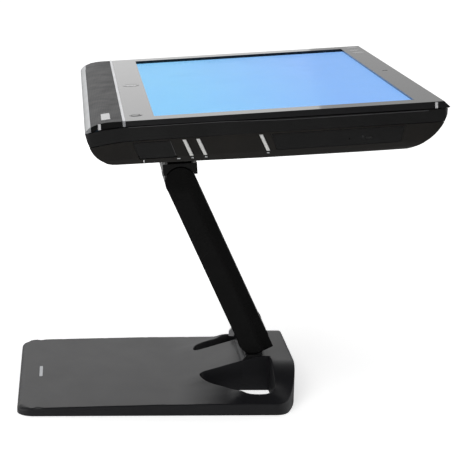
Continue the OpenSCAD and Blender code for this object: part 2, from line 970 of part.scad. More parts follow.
module cpu_heatsink() {
    fins = 14;
    color([0.75, 0.76, 0.78]) on_screen() union() {
        block([-84, 132, -26.5], [-30, 186, -23]);
        for (i = [0:fins - 1])
            block([-84 + 4.05 * i, 132, -38], [-82.7 + 4.05 * i, 186, -26.5 + eps]);
    }
}

module fan_housing() {
    color(satin_black) on_screen() difference() {
        union() {
            rod_z(33, fan_top_n - fan_h, fan_top_n, fan_x, fan_l);
            block([fan_x, fan_l - 33, fan_top_n - fan_h], [fan_x + 40, fan_l + 10, fan_top_n]);
        }
        rod_z(30.5, fan_top_n - fan_h + 1.5, fan_top_n - 1.5, fan_x, fan_l);
        block([fan_x + 10, fan_l - 30, fan_top_n - fan_h + 1.5], [fan_x + 50, fan_l + 7, fan_top_n - 1.5]);
        rod_z(20, fan_top_n - fan_h - 1, fan_top_n - fan_h + 2, fan_x, fan_l);
    }
}

module fan_rotor() {
    low = fan_top_n - fan_h + 2.2;
    color([0.16, 0.16, 0.17]) on_screen() translate([fan_x, fan_l, 0]) union() {
        rod_z(11, low, fan_top_n - 2);
        for (i = [0:blade_count - 1])
            rotate([0, 0, 360 * i / blade_count]) translate([10, 0, low]) rotate([0, 0, 18])
                cube([17.5, 1, fan_h - 5]);
    }
}

module memory_modules() {
    color(board_green) on_screen()
        for (i = [0, 1])
            block([-8, 78 + 36 * i, -27.2], [62, 108 + 36 * i, -23.4]);
}

module hard_drive() {
    color(steel) on_screen() block([92, 80, -31], [142, 180, -21.5]);
}

// ================= disc drive =================

module drive_case() {
    color(steel) on_screen() difference() {
        block([150, tray_l - drive_half_l, -41.4], [277, tray_l + drive_half_l, -26.6]);
        block([151, tray_l - drive_half_l + 1, -40.4], [far, tray_l + drive_half_l - 1, -27.6]);
    }
}

module drive_tray() {
    low = tray_top_n - tray_t;
    color(satin_black) on_screen() difference() {
        block([153, tray_l - 61.5, low], [case_x - 3.3, tray_l + 61.5, tray_top_n]);
        rod_z(disc_r - 1.5, tray_top_n - 2, 0, tray_x, tray_l, 96);
        rod_z(16, low - 1, 0, tray_x, tray_l);
        block([tray_x - 52, tray_l - 13, low - 1], [tray_x - 10, tray_l + 13, 0]);
        block([267, button_l - 4.5, low - 1], [case_x, button_l + 4.5, 0]);
    }
}

module drive_bezel() {
    color(gloss_black) on_screen() difference() {
        along_x(3.1, case_x - 3.1) slanted(fascia_l, fascia_lean, grow = -fascia_gap);
        along_x(10, case_x - 5) translate([button_l, fascia_mid_n]) pill(7.6, 3);
        rod_x(0.7, case_x - 5, case_x + 5, pinhole_l, fascia_mid_n, 24);
    }
}

module tray_button() {
    color(satin_black) on_screen() union() {
        along_x(4.4, case_x - 3.9) translate([button_l, fascia_mid_n]) pill(7, 2.4);
        along_x(3, case_x - 6.8) translate([button_l, fascia_mid_n]) pill(8.4, 4);
    }
}

module drive_spindle() {
    color(bright) on_screen() translate([tray_x, tray_l, 0]) union() {
        rod_z(14, tray_top_n - tray_t + 0.5, tray_top_n - 2.4);
        rod_z(7.3, tray_top_n - 2.5, tray_top_n + 0.8);
        for (a = [30, 150, 270])
            rotate([0, 0, a]) translate([6.6, 0, tray_top_n - 0.6]) sphere(1, $fn = 24);
    }
}

module drive_sled() {
    color([0.30, 0.30, 0.32]) on_screen() difference() {
        block([tray_x - 33, tray_l - 12, tray_top_n - tray_t + 1], [tray_x - 17.5, tray_l + 12, tray_top_n - 2.4]);
        rod_z(3, tray_top_n - 5, 0, tray_x - 25, tray_l);
    }
}

// ================= keys, button, door and ports =================

// A key with a bright face and a retaining flange behind the wall
module side_key(l) {
    color(bright) on_screen() union() {
        along_x(case_wall + key_proud + 1, case_x - case_wall - 1) key_side(l);
        along_x(1.4, case_x - case_wall - 2.3) slanted(
            [l - key_w / 2 - 1.4, l + key_w / 2 + 1.4], [key_lean, key_lean],
            [side_low_n + 1.8, side_top_n - 0.8]);
    }
}

module volume_key() {
    side_key(volume_l);
}

module brightness_key() {
    side_key(brightness_l);
}

module eject_key() {
    side_key(eject_l);
}

module power_button() {
    color(gloss_black) on_screen() {
        rod_z(power_r, -5, 0.3, power_x, power_l);
        rod_z(power_r + 1, -6.2, -5, power_x, power_l);
    }
}

module port_door() {
    gap = 0.35;
    color(gloss_black) on_screen() union() {
        difference() {
            along_x(1.5, case_x - 1.5) slanted(
                door_l + [gap, -gap], [door_lean, door_lean], [door_axis_n, side_top_n - gap]);
            // corner that would meet the case as the door swings
            block(
                [case_x - 2, door_l[0], door_axis_n - 1],
                [case_x + 1, door_l[0] + door_lean + gap, door_axis_n + 2.2]
            );
        }
        rod_y(door_pin_r, door_l[0] + door_lean + 2 * gap, door_l[1] + door_lean - 4 * gap,
            door_axis_x, door_axis_n);
    }
}

module side_port_block() {
    face = case_x - 4;
    color(satin_black) on_screen() difference() {
        block([252, -22, -41], [face, 16, -25]);
        for (n = [-32, -39])
            difference() {
                block([face - 12, -4, n], [far, 8.4, n + 4.8]);
                block([face - 12, -2.5, n + 0.6], [face - 1, 6.9, n + 2.6]);
            }
        block([face - 18, -19, -34], [far, -7, -31.6]);
    }
}

module port_block() {
    face = -case_x + 2;
    color(satin_black) on_screen() difference() {
        block([face, port_l[0] + 0.4, port_n[0] + 0.4], [face + 20, port_l[1] - 0.4, port_n[1] - 0.4]);
        block([-far, net_l[0], net_n[0]], [face + 14, net_l[1], net_n[1]]);
        for (l = [141, 156])
            difference() {
                block([-far, l, -36.5], [face + 12, l + 12.4, -31.7]);
                block([face + 1, l + 1.5, -35.9], [face + 12, l + 10.9, -33.9]);
            }
        for (l = jack_l)
            rod_x(jack_r, face - 1, face + 14, l + 5, -34, 32);
    }
}

module dc_inlet() {
    face = -case_x + 2;
    color(satin_black) on_screen() {
        difference() {
            rod_x(4.7, face, face + 14, inlet_l, inlet_n);
            rod_x(2.8, face - 1, face + 11, inlet_l, inlet_n);
        }
        rod_x(1.1, face + 1.5, face + 12, inlet_l, inlet_n, 24);
    }
}

base_cover();
base_plate();
feet();
base_screws();
hinge_bracket();
bracket_bolts();
hinge_cover();
lower_bushes();
lower_springs();
base_badge();
arm_frame();
arm_cover();
arm_back_cover();
arm_screws();
hinge_pins();
hinge_nuts();
friction_discs();
cable_clip();
head_bracket();
upper_bushes();
mount_plate();
mount_screws();
front_bezel();
touch_glass();
lcd_panel();
backlight_unit();
chassis_sheet();
speaker_bar();
speaker_boxes();
trim_line();
front_trim();
edge_clips();
mid_housing();
rear_housing();
service_cover();
housing_screws();
webcam_lens();
webcam_module();
emblem_plates();
motherboard();
cpu_heatsink();
fan_housing();
memory_modules();
hard_drive();
drive_case();
port_block();
dc_inlet();
side_port_block();
drive_tray();
drive_bezel();
drive_spindle();
drive_sled();
tray_button();
fan_rotor();
volume_key();
brightness_key();
eject_key();
power_button();
port_door();
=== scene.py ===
import math

import bmesh
import bpy
from mathutils import Matrix, Vector
from mathutils.geometry import delaunay_2d_cdt


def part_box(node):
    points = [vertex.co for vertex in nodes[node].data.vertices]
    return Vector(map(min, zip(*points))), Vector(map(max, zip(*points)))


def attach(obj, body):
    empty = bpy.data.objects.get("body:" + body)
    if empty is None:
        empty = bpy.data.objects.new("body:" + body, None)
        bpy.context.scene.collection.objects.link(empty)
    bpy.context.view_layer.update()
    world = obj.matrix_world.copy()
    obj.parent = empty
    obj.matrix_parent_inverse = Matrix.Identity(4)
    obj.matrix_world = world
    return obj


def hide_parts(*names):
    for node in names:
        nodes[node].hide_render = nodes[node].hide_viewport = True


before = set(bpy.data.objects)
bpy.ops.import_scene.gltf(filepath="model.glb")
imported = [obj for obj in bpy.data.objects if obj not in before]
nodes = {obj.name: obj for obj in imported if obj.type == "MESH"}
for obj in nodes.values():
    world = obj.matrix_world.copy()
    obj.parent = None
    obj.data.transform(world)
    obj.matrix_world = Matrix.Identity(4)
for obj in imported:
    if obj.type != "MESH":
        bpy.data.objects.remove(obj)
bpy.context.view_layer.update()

MM = 0.001

# ---------------------------------------------------------------- camera

# metres and degrees; the lens is in millimetres
CAMERA_PLACE = Vector((2.0811, -0.1172, 0.6540))
YAW, PITCH, ROLL = (math.radians(a) for a in (-5.740, 12.269, 1.593))
LENS = 132.15


def make_camera():
    forward = Vector(
        (-math.cos(YAW) * math.cos(PITCH), -math.sin(YAW) * math.cos(PITCH), -math.sin(PITCH))
    )
    right = Vector((-math.sin(YAW), math.cos(YAW), 0))
    up = right.cross(forward)
    side = math.cos(ROLL) * right + math.sin(ROLL) * up
    top = -math.sin(ROLL) * right + math.cos(ROLL) * up
    data = bpy.data.cameras.new("camera")
    data.lens = LENS
    data.sensor_width = 36
    data.clip_start = 0.05
    data.clip_end = 50
    camera = bpy.data.objects.new("camera", data)
    bpy.context.scene.collection.objects.link(camera)
    turn = Matrix((side, top, -forward)).transposed().to_4x4()
    camera.matrix_world = Matrix.Translation(CAMERA_PLACE) @ turn
    bpy.context.scene.camera = camera


make_camera()

# ---------------------------------------------------------------- materials


class Nodes:
    """A small helper that builds one material's node tree."""

    def __init__(self, name):
        self.material = bpy.data.materials.new(name)
        self.material.use_nodes = True
        self.tree = self.material.node_tree
        self.shader = self.tree.nodes["Principled BSDF"]
        self.place = self.tree.nodes.new("ShaderNodeTexCoord").outputs["Object"]

    @property
    def facing(self):
        """The direction that the surface faces."""
        return self.tree.nodes["Texture Coordinate"].outputs["Normal"]

    def add(self, kind, **inputs):
        node = self.tree.nodes.new(kind)
        for key, value in inputs.items():
            socket = node.inputs[key.replace("_", " ")]
            if isinstance(value, bpy.types.NodeSocket):
                self.tree.links.new(value, socket)
            else:
                socket.default_value = value
        return node

    def link(self, source, socket):
        self.tree.links.new(source, self.shader.inputs[socket])

    def part(self, vector, axis):
        """One of the three numbers of a vector."""
        return self.add("ShaderNodeSeparateXYZ", Vector=vector).outputs[axis]

    def math(self, operation, *sources):
        node = self.tree.nodes.new("ShaderNodeMath")
        node.operation = operation
        for source, socket in zip(sources, node.inputs):
            self.tree.links.new(source, socket)
        return node.outputs[0]

    def noise(self, scale, detail=4.0, rough=0.55, stretch=None):
        place = self.place
        if stretch:
            mapping = self.add("ShaderNodeMapping", Vector=place)
            mapping.inputs["Scale"].default_value = stretch
            place = mapping.outputs[0]
        node = self.add("ShaderNodeTexNoise", Vector=place, Scale=scale, Detail=detail, Roughness=rough)
        return node.outputs["Fac"]

    def spread(self, value, low, high, start=0.3, end=0.7):
        node = self.add("ShaderNodeMapRange", Value=value)
        for key, number in (("From Min", start), ("From Max", end), ("To Min", low), ("To Max", high)):
            node.inputs[key].default_value = number
        return node.outputs[0]

    def mix(self, factor, first, second):
        node = self.tree.nodes.new("ShaderNodeMix")
        node.data_type = "RGBA"
        for socket, value in ((0, factor), (6, first), (7, second)):
            if isinstance(value, bpy.types.NodeSocket):
                self.tree.links.new(value, node.inputs[socket])
            else:
                node.inputs[socket].default_value = value
        return node.outputs[2]

    def bump(self, *layers):
        last = None
        for height, distance, strength in layers:
            node = self.add("ShaderNodeBump", Height=height, Distance=distance, Strength=strength)
            if last:
                self.tree.links.new(last, node.inputs["Normal"])
            last = node.outputs[0]
        self.link(last, "Normal")


BLACK = (0.004, 0.004, 0.004)


def rgba(color, gain=1.0):
    return (color[0] * gain, color[1] * gain, color[2] * gain, 1.0)


def plastic(name, color, rough, *, tone=0.25, grain=0.0, grain_scale=1400,
            smudge=0.05, dust=0.0, wave=0.0, coat=0.0, ior=1.5):
    """Moulded plastic: slow tone drift, fine grain, wiped smudges and sparse dust."""
    m = Nodes(name)
    drift = m.spread(m.noise(25, 3), 0.0, 1.0)
    base = m.mix(drift, rgba(color, 1 - tone), rgba(color, 1 + tone))
    if dust:
        specks = m.spread(m.noise(900, 2, 0.5), 0.0, dust, 0.70, 0.80)
        base = m.mix(specks, base, (0.35, 0.34, 0.33, 1))
    m.link(base, "Base Color")
    wiped = m.noise(18, 5, 0.62, stretch=(1.0, 1.6, 1.0))
    m.link(m.spread(wiped, rough - smudge, rough + smudge), "Roughness")
    layers = []
    if grain:
        layers.append((m.noise(grain_scale, 2, 0.5), 0.0004, grain))
    if wave:
        layers.append((m.noise(45, 2, 0.4), 0.002, wave))
    if layers:
        m.bump(*layers)
    m.shader.inputs["IOR"].default_value = ior
    m.shader.inputs["Coat Weight"].default_value = coat
    m.shader.inputs["Coat Roughness"].default_value = 0.04
    return m.material


def metal(name, color, rough, *, brushed=None, tone=0.08, smudge=0.05, grain=0.05, grain_scale=900):
    """Bare metal: brushed along an axis, or finely blasted."""
    m = Nodes(name)
    drift = m.spread(m.noise(30, 3), 0.0, 1.0)
    m.link(m.mix(drift, rgba(color, 1 - tone), rgba(color, 1 + tone)), "Base Color")
    m.shader.inputs["Metallic"].default_value = 1.0
    streak = m.noise(grain_scale, 3, 0.6, stretch=brushed)
    m.link(m.spread(streak, rough - smudge, rough + smudge), "Roughness")
    m.bump((streak, 0.0002, grain))
    return m.material


def lit_screen(name):
    """A plain lit picture: sky blue at the front, deeper at the rear."""
    m = Nodes(name)
    x, y = m.part(m.place, "X"), m.part(m.place, "Y")
    low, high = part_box("lcd_panel")
    along = m.spread(y, 0.0, 1.0, 0.02, 0.20)
    cloud = m.spread(m.noise(4, 2, 0.4), -0.04, 0.04)
    picture = m.mix(m.math("ADD", along, cloud), (0.250, 0.61, 0.96, 1), (0.258, 0.50, 0.97, 1))
    # painted shade: a black border inside the far edge and the rear edge only, where the recess's inner
    # wall and its shade are seen
    far_edge_shade = m.spread(x, 0.0, 1.0, low[0] + 0.0055, low[0] + 0.0065)
    rear_edge_shade = m.spread(y, 1.0, 0.0, high[1] - 0.0048, high[1] - 0.0040)
    lit = m.math("MULTIPLY", far_edge_shade, rear_edge_shade)
    m.link(m.mix(lit, (0.002, 0.002, 0.002, 1), picture), "Emission Color")
    m.shader.inputs["Emission Strength"].default_value = 1.0
    m.shader.inputs["Base Color"].default_value = (0.01, 0.015, 0.02, 1)
    m.shader.inputs["Specular IOR Level"].default_value = 0.0
    m.link(m.spread(m.noise(60, 3), 0.55, 0.65), "Roughness")
    return m.material


def clear_glass(name):
    """Glass that bends light very little, so that the picture under it stays clear."""
    m = Nodes(name)
    m.link(m.mix(m.spread(m.noise(20, 3), 0, 1), (0.97, 0.98, 1, 1), (1, 1, 1, 1)), "Base Color")
    m.link(m.spread(m.noise(30, 4), 0.10, 0.16), "Roughness")
    m.shader.inputs["Transmission Weight"].default_value = 1.0
    m.shader.inputs["IOR"].default_value = 1.01
    return m.material


def lit_top_only(name, color, rough, level):
    """Painted light from above: a lighter grey on the upward faces below a level, and black on everything
    else.
    """
    m = Nodes(name)
    flat = m.spread(m.part(m.facing, "Z"), 0.0, 1.0, 0.80, 0.90)
    low = m.spread(m.part(m.place, "Z"), 1.0, 0.0, level, level + 0.0006)
    top_light_colour = m.mix(m.spread(m.noise(25, 3), 0.0, 1.0), rgba(color, 0.9), rgba(color, 1.1))
    m.link(m.mix(m.math("MULTIPLY", flat, low), rgba(BLACK), top_light_colour), "Base Color")
    m.link(m.spread(m.noise(18, 5), rough - 0.04, rough + 0.04), "Roughness")
    m.bump((m.noise(1100, 2, 0.5), 0.0004, 0.12))
    return m.material


def split_tone(name, color, other, rough, way, start, end, ior=1.5, level=None):
    """Plastic that goes from one colour to another along a direction, and above a level."""
    m = Nodes(name)
    along = m.tree.nodes.new("ShaderNodeVectorMath")
    along.operation = "DOT_PRODUCT"
    m.tree.links.new(m.place, along.inputs[0])
    along.inputs[1].default_value = way
    share = m.spread(along.outputs["Value"], 0.0, 1.0, start, end)
    if level:
        above = m.spread(m.part(m.place, "Z"), 0.0, 1.0, level, level + 0.012)
        share = m.math("MAXIMUM", share, above)
    drift = m.spread(m.noise(25, 3), 0.0, 0.15)
    m.link(m.mix(drift, m.mix(share, rgba(color), rgba(other)), (0.02, 0.02, 0.02, 1)), "Base Color")
    m.link(m.spread(m.noise(18, 5, 0.62), rough - 0.04, rough + 0.04), "Roughness")
    m.bump((m.noise(1400, 2, 0.5), 0.0004, 0.05))
    m.shader.inputs["IOR"].default_value = ior
    return m.material


def perforated(name, color, rough):
    """Speaker cloth of pressed metal: small round holes in rows, with plain black ends."""
    m = Nodes(name)
    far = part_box("speaker_bar")[1][0]
    end = m.spread(m.math("ABSOLUTE", m.part(m.place, "X")), 0.0, 1.0, far - 0.0026, far - 0.0020)
    mapping = m.add("ShaderNodeMapping", Vector=m.place)
    mapping.inputs["Scale"].default_value = (1, 1, 0)
    cells = m.add("ShaderNodeTexVoronoi", Vector=mapping.outputs[0], Scale=520.0, Randomness=0.0)
    hole = m.spread(cells.outputs["Distance"], 1.0, 0.0, 0.22, 0.34)
    cloth = m.mix(hole, rgba(color), rgba((0.015, 0.015, 0.016)))
    m.link(m.mix(end, cloth, rgba(BLACK)), "Base Color")
    m.shader.inputs["IOR"].default_value = 1.30
    m.link(m.spread(m.noise(40, 4), rough - 0.06, rough + 0.06), "Roughness")
    m.bump((hole, 0.0003, -0.25), (m.noise(700, 2), 0.0003, 0.05))
    return m.material


def circuit(name):
    """Green board with tracks in a grid."""
    m = Nodes(name)
    lanes = m.add("ShaderNodeTexBrick", Vector=m.place, Scale=60.0)
    lanes.inputs["Color1"].default_value = (0.01, 0.10, 0.04, 1)
    lanes.inputs["Color2"].default_value = (0.02, 0.16, 0.07, 1)
    lanes.inputs["Mortar"].default_value = (0.30, 0.26, 0.10, 1)
    lanes.inputs["Mortar Size"].default_value = 0.012
    worn = m.spread(m.noise(120, 3), 0, 0.5)
    m.link(m.mix(worn, lanes.outputs["Color"], (0.01, 0.07, 0.03, 1)), "Base Color")
    m.link(m.spread(m.noise(80, 3), 0.35, 0.55), "Roughness")
    m.bump((lanes.outputs["Fac"], 0.0003, 0.3))
    return m.material


piano = plastic("piano_black", (0.004, 0.004, 0.005), 0.07, smudge=0.03, dust=0.03, wave=0.008, ior=1.40)
case_gloss = plastic("case_black", (0.004, 0.004, 0.004), 0.20, smudge=0.05, dust=0.03, wave=0.02, ior=1.40)
case_brown = plastic("case_brown", (0.0080, 0.0066, 0.0052), 0.33, grain=0.10, smudge=0.06, ior=1.42)
# painted reflection: the arm's side is painted a shade lighter in front of a line along its length, where
# it reflects light; the direction from its front to its rear, the line's place on it, and the height above
# which it is painted dark
ARM_DEPTH = (0.0, 0.9018, 0.4321)
ARM_SHEEN_LINE = 0.1435
ARM_SHEEN_TOP = 0.250
arm_black = split_tone("arm_black", (0.0065, 0.0065, 0.0065), (0.0006, 0.0006, 0.0006), 0.26,
                       ARM_DEPTH, ARM_SHEEN_LINE - 0.003, ARM_SHEEN_LINE + 0.003, ior=1.22, level=ARM_SHEEN_TOP)
head_black = plastic("head_black", (0.002, 0.002, 0.002), 0.22, grain=0.04, ior=1.30)
base_paint = plastic("base_paint", (0.011, 0.011, 0.013), 0.44, grain=0.12, grain_scale=1100,
                     smudge=0.015, tone=0.05)
moulded = plastic("black_plastic", (0.012, 0.012, 0.012), 0.50, grain=0.20)
rubber = plastic("foot_rubber", (0.020, 0.020, 0.020), 0.80, grain=0.35, grain_scale=600)
disc_grey = plastic("disc_grey", (0.14, 0.13, 0.12), 0.65, grain=0.25)
clip_grey = plastic("clip_grey", (0.50, 0.50, 0.51), 0.42, grain=0.20, tone=0.1)
panel_frame = plastic("panel_frame", (0.60, 0.61, 0.60), 0.5, grain=0.1, tone=0.08)
speaker = perforated("speaker_grey", (0.050, 0.050, 0.052), 0.50)
screen_picture = lit_screen("lit_screen")
glass = clear_glass("screen_glass")
lens = plastic("lens", (0.01, 0.01, 0.02), 0.05, smudge=0.02, coat=1.0)
trim = metal("bright_trim", (0.54, 0.55, 0.56), 0.34, brushed=(0.02, 1, 1))
key_trim = plastic("key_trim", (0.78, 0.78, 0.76), 0.30, tone=0.10)
# one node holds both plates: the round one is as black as the chin and the other is grey
label_grey = split_tone("label_grey", (0.004, 0.004, 0.005), (0.50, 0.50, 0.51), 0.08,
                        (1.0, 0.0, 0.0), 0.10, 0.11, ior=1.40)
mark_white = plastic("mark_white", (0.55, 0.56, 0.57), 0.5, tone=0.10)
mark_bright = metal("mark_bright", (0.95, 0.95, 0.97), 0.06, tone=0.03, smudge=0.02, grain=0.0)
mark_tick = plastic("mark_tick", (0.85, 0.85, 0.86), 0.5, tone=0.05)
# painted highlight: grey for thin lines where black edges catch the light
painted_edge_highlight = plastic("painted_edge_highlight", (0.050, 0.050, 0.052), 0.4, tone=0.15)
clip_bright = plastic("clip_bright", (0.66, 0.66, 0.67), 0.35, tone=0.08)
line_bright = metal("line_bright", (0.62, 0.63, 0.65), 0.30, brushed=(0.02, 1, 1))
# painted light: the hinge cover's upward faces are a lighter grey than the base, as if lit from above
cover_painted_top_light = lit_top_only("cover_painted_top_light", (0.085, 0.085, 0.088), 0.40, 0.0435)
mark_dark = plastic("mark_dark", (0.03, 0.03, 0.032), 0.4)
badge = metal("badge_metal", (0.45, 0.46, 0.48), 0.35, brushed=(0.05, 1, 1))
steel = metal("plate_steel", (0.50, 0.51, 0.52), 0.38, brushed=(1, 0.04, 1))
zinc = metal("fastener", (0.60, 0.60, 0.58), 0.32, grain=0.12)
cast = metal("arm_casting", (0.42, 0.43, 0.44), 0.50, grain=0.5, grain_scale=500)
iron = plastic("cast_black", (0.012, 0.012, 0.013), 0.46, grain=0.35, grain_scale=700)
bronze = metal("bush_bronze", (0.62, 0.42, 0.20), 0.30, brushed=(0.05, 1, 1))
spring_steel = metal("spring_steel", (0.35, 0.36, 0.38), 0.35)
sheet_steel = metal("sheet_steel", (0.58, 0.59, 0.60), 0.34, grain=0.15, grain_scale=120)
heatsink = metal("heatsink", (0.70, 0.71, 0.73), 0.35, brushed=(1, 0.04, 1))
board = circuit("circuit_board")

LOOKS = {
    base_paint: ["base_cover", "hinge_cover"],
    steel: ["base_plate"],
    rubber: ["feet"],
    zinc: ["base_screws", "bracket_bolts", "hinge_pins", "hinge_nuts", "mount_screws", "housing_screws"],
    iron: ["hinge_bracket"],
    bronze: ["lower_bushes", "upper_bushes"],
    spring_steel: ["lower_springs"],
    badge: ["base_badge"],
    cast: ["arm_frame"],
    arm_black: ["arm_cover", "arm_back_cover"],
    moulded: [
        "arm_screws", "speaker_boxes", "service_cover", "fan_housing", "port_block", "dc_inlet",
        "side_port_block", "drive_tray", "drive_sled", "tray_button", "fan_rotor",
    ],
    disc_grey: ["friction_discs"],
    clip_grey: ["cable_clip"],
    head_black: ["head_bracket", "mount_plate"],
    piano: ["front_bezel", "power_button"],
    glass: ["touch_glass"],
    screen_picture: ["lcd_panel"],
    panel_frame: ["backlight_unit"],
    sheet_steel: ["chassis_sheet", "hard_drive", "drive_case"],
    speaker: ["speaker_bar"],
    trim: ["front_trim", "drive_spindle"],
    line_bright: ["trim_line"],
    clip_bright: ["edge_clips"],
    key_trim: ["volume_key", "brightness_key", "eject_key"],
    label_grey: ["emblem_plates"],
    case_gloss: ["mid_housing", "drive_bezel", "port_door"],
    case_brown: ["rear_housing"],
    lens: ["webcam_lens"],
    board: ["webcam_module", "motherboard", "memory_modules"],
    heatsink: ["cpu_heatsink"],
}
for look, names in LOOKS.items():
    for name in names:
        node = nodes[name]
        if not node.material_slots:
            node.data.materials.append(look)
        for place in node.material_slots:
            place.material = look

# ---------------------------------------------------------------- mesh helpers

# millimetres and radians: the screen's front edge, its slope and half the width of the case
SCREEN_Y, SCREEN_Z = -19.6, 381.2
SLOPE = math.radians(4.4)
CASE_X = 281.5
ACROSS = Vector((1, 0, 0))
UP_SLOPE = Vector((0, math.cos(SLOPE), math.sin(SLOPE)))
OFF_FACE = Vector((0, -math.sin(SLOPE), math.cos(SLOPE)))


def row(x, l, n):
    """A place measured along the screen: x across, l up the slope and n off its face."""
    y = SCREEN_Y + l * math.cos(SLOPE) - n * math.sin(SLOPE)
    z = SCREEN_Z + l * math.sin(SLOPE) + n * math.cos(SLOPE)
    return Vector((x, y, z)) * MM


def add_mesh(name, mesh, look):
    mesh.materials.append(look)
    obj = bpy.data.objects.new(name, mesh)
    bpy.context.scene.collection.objects.link(obj)
    return obj


def new_piece(name, verts, faces, look, body):
    mesh = bpy.data.meshes.new(name)
    mesh.from_pydata(verts, [], faces)
    obj = add_mesh(name, mesh, look)
    dress(obj, 30)
    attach(obj, body)
    return obj


def dress(obj, flat_angle):
    """Smooth shading with creases wherever two faces meet at more than the angle."""
    mesh = obj.data
    bm = bmesh.new()
    bm.from_mesh(mesh)
    bmesh.ops.recalc_face_normals(bm, faces=bm.faces)
    for face in bm.faces:
        face.smooth = True
    limit = math.radians(flat_angle)
    for edge in bm.edges:
        if len(edge.link_faces) == 2:
            edge.smooth = edge.calc_face_angle(0) < limit
    bm.to_mesh(mesh)
    bm.free()


def bevelled(name, look, body, width, cuts):
    """A copy of a CAD node with its coplanar facets joined and its edges rounded."""
    mesh = nodes[name].data.copy()
    mesh.materials.clear()
    obj = add_mesh(name + "_form", mesh, look)
    bm = bmesh.new()
    bm.from_mesh(mesh)
    bmesh.ops.remove_doubles(bm, verts=bm.verts, dist=2e-6)
    # planes through the holes keep each joined face free of islands
    for place, normal in cuts:
        geometry = bm.verts[:] + bm.edges[:] + bm.faces[:]
        cut = bmesh.ops.bisect_plane(bm, geom=geometry, dist=1e-6, plane_co=place, plane_no=normal)
        for edge in cut["geom_cut"]:
            if isinstance(edge, bmesh.types.BMEdge):
                edge.seam = True
    bmesh.ops.dissolve_limit(
        bm, angle_limit=math.radians(0.6), verts=bm.verts, edges=bm.edges, delimit={"SEAM"})
    for face in bm.faces:
        face.material_index = 0
        face.smooth = True
    bm.to_mesh(mesh)
    bm.free()
    rounding = obj.modifiers.new("rounding", "BEVEL")
    rounding.width = width * MM
    rounding.segments = 3
    rounding.limit_method = "ANGLE"
    rounding.angle_limit = math.radians(32)
    rounding.use_clamp_overlap = True
    rounding.miter_outer = "MITER_ARC"
    rounding.material = 1
    mesh.materials.append(look)
    apply_modifiers(obj)
    flatten_planes(obj)
    even = obj.modifiers.new("even", "WEIGHTED_NORMAL")
    even.mode = "FACE_AREA"
    even.weight = 90
    apply_modifiers(obj)
    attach(obj, body)
    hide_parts(name)
    return obj


def flatten_planes(obj):
    """Flat shading on every face that is not part of a curve or of the rounding."""
    bm = bmesh.new()
    bm.from_mesh(obj.data)
    limit = math.radians(0.5)
    for face in bm.faces:
        if face.material_index == 1:
            continue
        shared = [e for e in face.edges if len(e.link_faces) == 2]
        plain = [e for e in shared if all(f.material_index == 0 for f in e.link_faces)]
        face.smooth = any(e.calc_face_angle(0) > limit for e in plain)
    for face in bm.faces:
        face.material_index = 0
    bm.to_mesh(obj.data)
    bm.free()
    obj.data.materials.pop()


def apply_modifiers(obj):
    bpy.context.view_layer.update()
    graph = bpy.context.evaluated_depsgraph_get()
    done = obj.evaluated_get(graph)
    mesh = bpy.data.meshes.new_from_object(done, preserve_all_data_layers=True, depsgraph=graph)
    obj.modifiers.clear()
    obj.data = mesh


# ---------------------------------------------------------------- base top


def cubic(a, b, c, d, steps):
    """Points along the curve from a to d that b and c pull on."""
    out = []
    for i in range(steps + 1):
        t = i / steps
        u = 1 - t
        w = (u**3, 3 * u * u * t, 3 * u * t * t, t**3)
        out.append(tuple(sum(k * p[j] for k, p in zip(w, (a, b, c, d))) for j in (0, 1)))
    return out


def smooth(value, start, end):
    """0 before the start, 1 after the end, and an even change between them."""
    t = min(1.0, max(0.0, (value - start) / (end - start)))
    return t * t * (3 - 2 * t)


def table(points, x):
    """Value at x of a smooth curve through sorted points."""
    if x <= points[0][0]:
        return points[0][1]
    for i in range(len(points) - 1):
        (x0, y0), (x1, y1) = points[i], points[i + 1]
        if x <= x1:
            before = points[max(i - 1, 0)]
            after = points[min(i + 2, len(points) - 1)]
            m0 = (y1 - before[1]) / (x1 - before[0])
            m1 = (after[1] - y0) / (after[0] - x0)
            h = x1 - x0
            t = (x - x0) / h
            return (
                (2 * t**3 - 3 * t * t + 1) * y0 + (t**3 - 2 * t * t + t) * h * m0
                + (3 * t * t - 2 * t**3) * y1 + (t**3 - t * t) * h * m1
            )
    return points[-1][1]


# the base in millimetres: half width, half depth and the radius of the front corners
BASE_X, BASE_Y, BASE_CORNER = 148.5, 172.0, 20.0
EDGE_ROUND = 1.2
FRONT_BEVEL = 3.4
UNDERSIDE_Z = 0.3
# the deck's height at three places along Y
DECK_FRONT, DECK_KNEE, DECK_REAR = (-168.6, 10.0), (-103.2, 11.7), (0.0, 14.0)
# the ramp up to the hump: where it starts and ends, its slope and climb, and how softly it bends
RAMP_FOOT, RAMP_HEAD = 23.0, 128.0
RAMP_SLOPE, RAMP_RISE, RAMP_SOFT = 0.29524, 31.0, 9.0
# what is left of the ramp's rise at a distance from the middle: along the rails, and at the hump
RAIL = [(56, 1), (62, 0.975), (70, 0.915), (78, 0.83), (85, 0.72), (94, 0.605), (104, 0.50),
        (114, 0.39), (124, 0.285), (133, 0.185), (141, 0.10), (148.5, 0.03)]
FLANK = [(60, 1), (67, 0.997), (76, 0.955), (85, 0.875), (93, 0.775), (102, 0.63), (112, 0.455),
         (122, 0.30), (133, 0.155), (141, 0.07), (148.5, 0.02)]
# how far the rails swell beside the cut-outs
RAIL_SWELL = 4.2
# the hinge cover's opening: half width, front and rear, and how far its walls go down
WINDOW = (46.8, 108.2, 140.8)
WINDOW_FLOOR_Z = 33


def straight(a, b, y):
    return a[1] + (b[1] - a[1]) * (y - a[0]) / (b[0] - a[0])


def deck_height(y):
    if y < DECK_KNEE[0]:
        return straight(DECK_FRONT, DECK_KNEE, y)
    return min(DECK_REAR[1], straight(DECK_KNEE, DECK_REAR, y))


